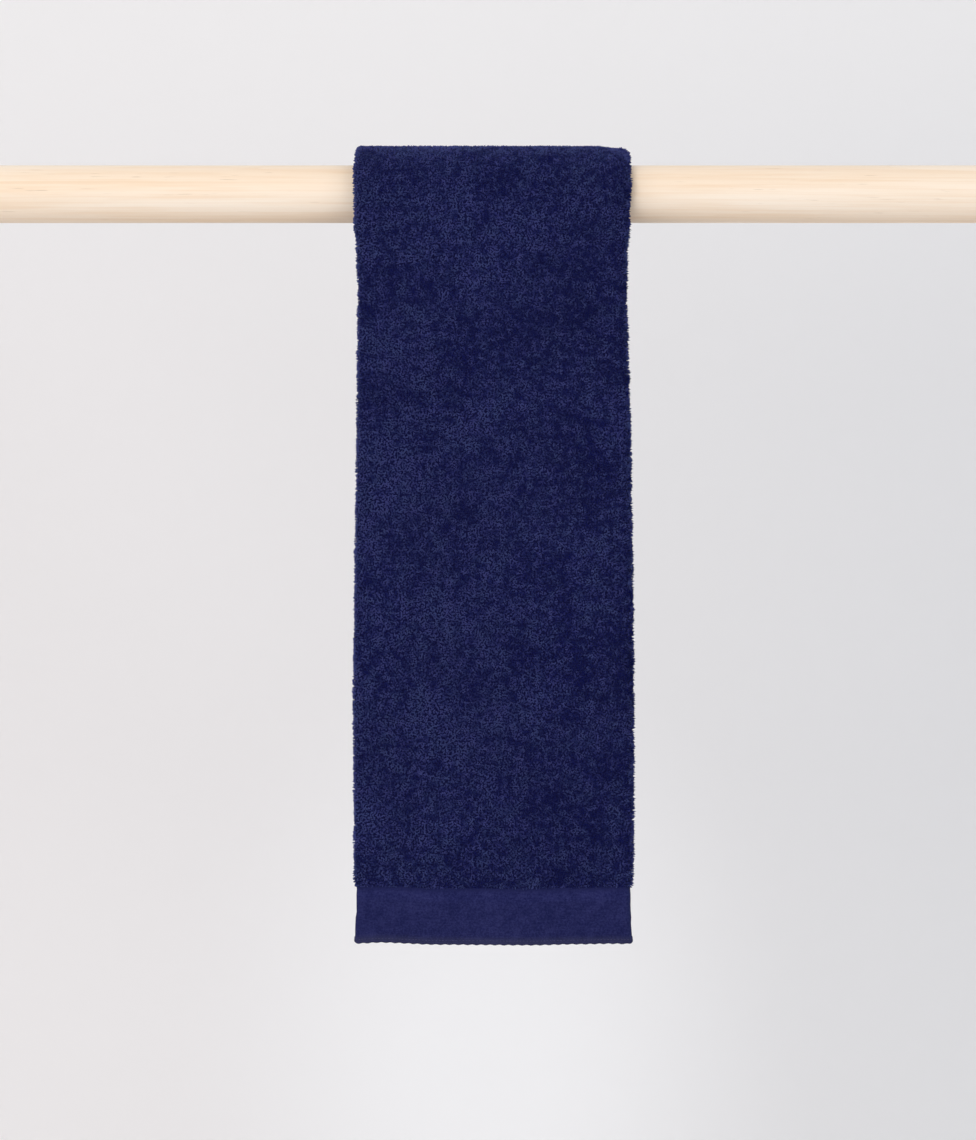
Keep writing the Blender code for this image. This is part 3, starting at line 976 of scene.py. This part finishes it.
def patch(name, part_range, along_range, steps):
    """An open patch of the ground's outer face, for the loops to stand on."""
    parts = np.linspace(*part_range, steps + 1)
    folds = np.concatenate([fold + np.arange(9) / 8 for fold in (1, 3)])
    folds = folds[(folds > part_range[0]) & (folds < part_range[1])]
    rows = max(2, round((along_range[1] - along_range[0]) / PATCH_STEP))
    part, along = np.meshgrid(np.union1d(parts, folds), np.linspace(*along_range, rows + 1))
    outer, inner = ground_halves(part, along)
    index = np.arange(part.size).reshape(part.shape)
    mesh = bpy.data.meshes.new(name)
    mesh.from_pydata(place(part, along, outer).reshape(-1, 3).tolist(), [], grid_faces(index).tolist())
    left_fold = np.sin(np.pi * np.clip(part - 1, 0, 1))
    right_fold = np.sin(np.pi * np.clip(part - 3, 0, 1))
    # worn is only how far the cloth has gone over the top of the rod; it sets the loops' lift and a painted
    # highlight
    worn = np.sin(np.pi * np.clip((along - FRONT_DROP) / WRAP_LENGTH, 0, 1)) ** 3
    leftward = np.clip(2.5 - part, -0.5, 0.5) * np.where(along < TOWEL_LENGTH / 2, 1.0, 0.0)
    lift = 1.0 + LEFT_LIFT * left_fold + (RIGHT_LIFT + CORNER_LIFT * worn) * right_fold
    lift = lift - TOP_FLATTENED * worn
    # the tone is painted light: highlights on the folds and over the top of the rod, and the front drop
    # lighter on its left, darker on its right
    tone = PAINTED_FOLD_HIGHLIGHT * left_fold + 0.2 * PAINTED_FOLD_HIGHLIGHT * right_fold + PAINTED_TOP_HIGHLIGHT * worn + PAINTED_SIDE_LIGHT * leftward
    for label, value in (("lift", lift), ("tone", tone)):
        mesh.attributes.new(label, "FLOAT", "POINT").data.foreach_set("value", value.ravel())
    return mesh


loop_start = BAND_LENGTH + EDGE_CLEAR
loop_end = TOWEL_LENGTH - loop_start
front_patch = (loop_start, FRONT_DROP)
top_patch = (FRONT_DROP, BACK_START)
back_patch = (BACK_START, loop_end)
LEFT_THIRD = (0.98, 2.33)
MIDDLE_THIRD = (2.33, 2.67)
RIGHT_THIRD = (2.67, 4.03)
patches = (
    ("loops_front_left", LEFT_THIRD, front_patch, 24),
    ("loops_front_middle", MIDDLE_THIRD, front_patch, 14),
    ("loops_front_right", RIGHT_THIRD, front_patch, 26),
    ("loops_over_rod", (LEFT_THIRD[0], RIGHT_THIRD[1]), top_patch, 64),
    ("loops_back_left", LEFT_THIRD, back_patch, 24),
    ("loops_back_middle", MIDDLE_THIRD, back_patch, 14),
    ("loops_back_right", RIGHT_THIRD, back_patch, 26),
)
loop_nodes = loop_tree()
loop_sizes = {
    "Spacing": LOOP_SPACING,
    "Density": LOOP_DENSITY,
    "Span": LOOP_SPAN,
    "Yarn": LOOP_YARN,
    "Height": LOOP_HEIGHT,
    "Curl": LOOP_CURL,
    "Tilt": LOOP_TILT,
    "Lean": LOOP_LEAN,
    "Tuft size": TUFT_SIZE,
    "Rings": LOOP_RINGS,
    "Material": loop_cotton(),
}
for number, (name, part_range, along_range, steps) in enumerate(patches):
    loop_sizes["Seed"] = 20 * number + 5
    seed_mesh = patch(name + "_ground", part_range, along_range, steps)
    made(name, seed_mesh, loop_nodes, loop_sizes)


# The stage, the lights and the camera
# A plain pale floor and a plain pale wall far behind, soft studio light mostly from the front, and a long
# lens level with the middle of the towel. The photo's frame is 976 by 1140 pixels.
FRAME_HEIGHT = 1140
METRES_PER_PIXEL = 0.000872  # at the rod's axis
CAMERA_DISTANCE = 3.0
CAMERA_X = TOWEL_MIDDLE - 0.0050
ROD_ROW = 194.25  # the rod's axis in the photo's frame
SENSOR = 36.0
FLOOR_LEVEL = -2.3
STUDIO_RADIUS = 7.0
COVE_RADIUS = 1.4
STUDIO_TOP = 2.2
STUDIO_SIDES = 96
COVE_STEPS = 12
BOARD_WARM = (0.87, 0.850, 0.850, 1.0)
BOARD_PALE = (0.89, 0.870, 0.872, 1.0)
# painted light on the board: darker and cooler on the right, lighter near the top, and a pool of light low
# in the middle
BOARD_SHADED_RIGHT = (0.775, 0.780, 0.797, 1.0)
BOARD_LIT_TOP = (0.945, 0.940, 0.944, 1.0)
BOARD_LIGHT_POOL = (0.960, 0.963, 0.978, 1.0)


def studio_board():
    """Matt painted board, with painted light on it: lighter and warmer on the left and towards the top,
    darker and cooler on the right, and a painted pool of light low in the middle.
    """
    board = Shader("pale_board")
    place = board.stretched()
    axes = board.apart(place)
    warm = board.mix(board.ramp(board.noise(place, 0.5, 1.0), 0.3, 0.7), BOARD_WARM, BOARD_PALE)
    # painted light: darker and cooler to the right, lighter towards the top
    colour = board.mix(board.ramp(axes["X"], -1.2, 2.4), warm, BOARD_SHADED_RIGHT)
    colour = board.mix(board.math("MULTIPLY", board.ramp(axes["Z"], 0.1, 1.6), 0.6), colour, BOARD_LIT_TOP)
    # a painted pool of light, low in the middle behind the towel
    from_low = board.distance(board.stretched((1.0, 0.0, 0.7)), (TOWEL_MIDDLE, 0.0, -1.2))
    painted_light_pool = board.math("SUBTRACT", 1.0, board.ramp(from_low, 0.1, 0.95))
    board.wear(board.mix(board.math("MULTIPLY", painted_light_pool, 0.8), colour, BOARD_LIGHT_POOL), Roughness=0.9)
    return board.material


def studio_mesh(name):
    """A round floor with a cove and a wall all round it, in one sweep."""
    profile = [(1.0, FLOOR_LEVEL), (3.0, FLOOR_LEVEL), (STUDIO_RADIUS - COVE_RADIUS, FLOOR_LEVEL)]
    for step in range(1, COVE_STEPS + 1):
        turn = math.pi / 2 * step / COVE_STEPS
        reach = STUDIO_RADIUS - COVE_RADIUS + COVE_RADIUS * math.sin(turn)
        profile.append((reach, FLOOR_LEVEL + COVE_RADIUS * (1 - math.cos(turn))))
    profile.append((STUDIO_RADIUS, STUDIO_TOP))
    turns = [2 * math.pi * side / STUDIO_SIDES for side in range(STUDIO_SIDES)]
    points = [(TOWEL_MIDDLE, 0.0, FLOOR_LEVEL)]
    for reach, level in profile:
        points += [(TOWEL_MIDDLE + reach * math.cos(turn), reach * math.sin(turn), level) for turn in turns]
    faces = []
    for side in range(STUDIO_SIDES):
        after = (side + 1) % STUDIO_SIDES
        faces.append((0, 1 + side, 1 + after))
        for ring in range(len(profile) - 1):
            low = 1 + ring * STUDIO_SIDES
            high = low + STUDIO_SIDES
            faces.append((low + side, high + side, high + after, low + after))
    mesh = bpy.data.meshes.new(name)
    mesh.from_pydata(points, [], faces)
    mesh.shade_smooth()
    mesh.materials.append(studio_board())
    return mesh


linked("studio_sweep", studio_mesh("studio_sweep"))


def soft_light(name, place_at, aim_at, size, power):
    """A square soft box that shines from one place towards another."""
    data = bpy.data.lights.new(name, "AREA")
    data.shape = "SQUARE"
    data.size = size
    data.energy = power
    lamp = linked(name, data)
    lamp.location = place_at
    lamp.rotation_euler = (Vector(aim_at) - Vector(place_at)).to_track_quat("-Z", "Y").to_euler()
    lamp.visible_camera = False


towel_centre = (TOWEL_MIDDLE, 0.0, -0.3)
soft_light("key", (TOWEL_MIDDLE - 1.1, -3.2, 1.1), towel_centre, 1.6, 62.0)
soft_light("fill", (TOWEL_MIDDLE + 2.4, -2.6, 0.2), towel_centre, 2.0, 19.0)
soft_light("side", (TOWEL_MIDDLE - 3.2, 0.5, -0.1), towel_centre, 1.6, 22.0)
soft_light("rear", (TOWEL_MIDDLE + 1.2, 3.4, -0.2), towel_centre, 2.0, 20.0)
soft_light("wall_wash", (TOWEL_MIDDLE - 0.5, 2.6, 1.8), (TOWEL_MIDDLE, STUDIO_RADIUS, -0.9), 2.4, 16.0)

world = bpy.data.worlds.new("studio")
world.use_nodes = True
background = world.node_tree.nodes["Background"].inputs
background["Color"].default_value = (1.0, 0.995, 0.995, 1.0)
background["Strength"].default_value = 0.85
bpy.context.scene.world = world
bpy.context.scene.view_settings.view_transform = "Standard"

lens = bpy.data.cameras.new("camera")
lens.sensor_width = SENSOR
lens.lens = SENSOR * CAMERA_DISTANCE / (FRAME_HEIGHT * METRES_PER_PIXEL)
camera = linked("camera", lens)
camera.location = (CAMERA_X, -CAMERA_DISTANCE, (ROD_ROW - FRAME_HEIGHT / 2) * METRES_PER_PIXEL)
camera.rotation_euler = (math.pi / 2, 0.0, 0.0)
bpy.context.scene.camera = camera
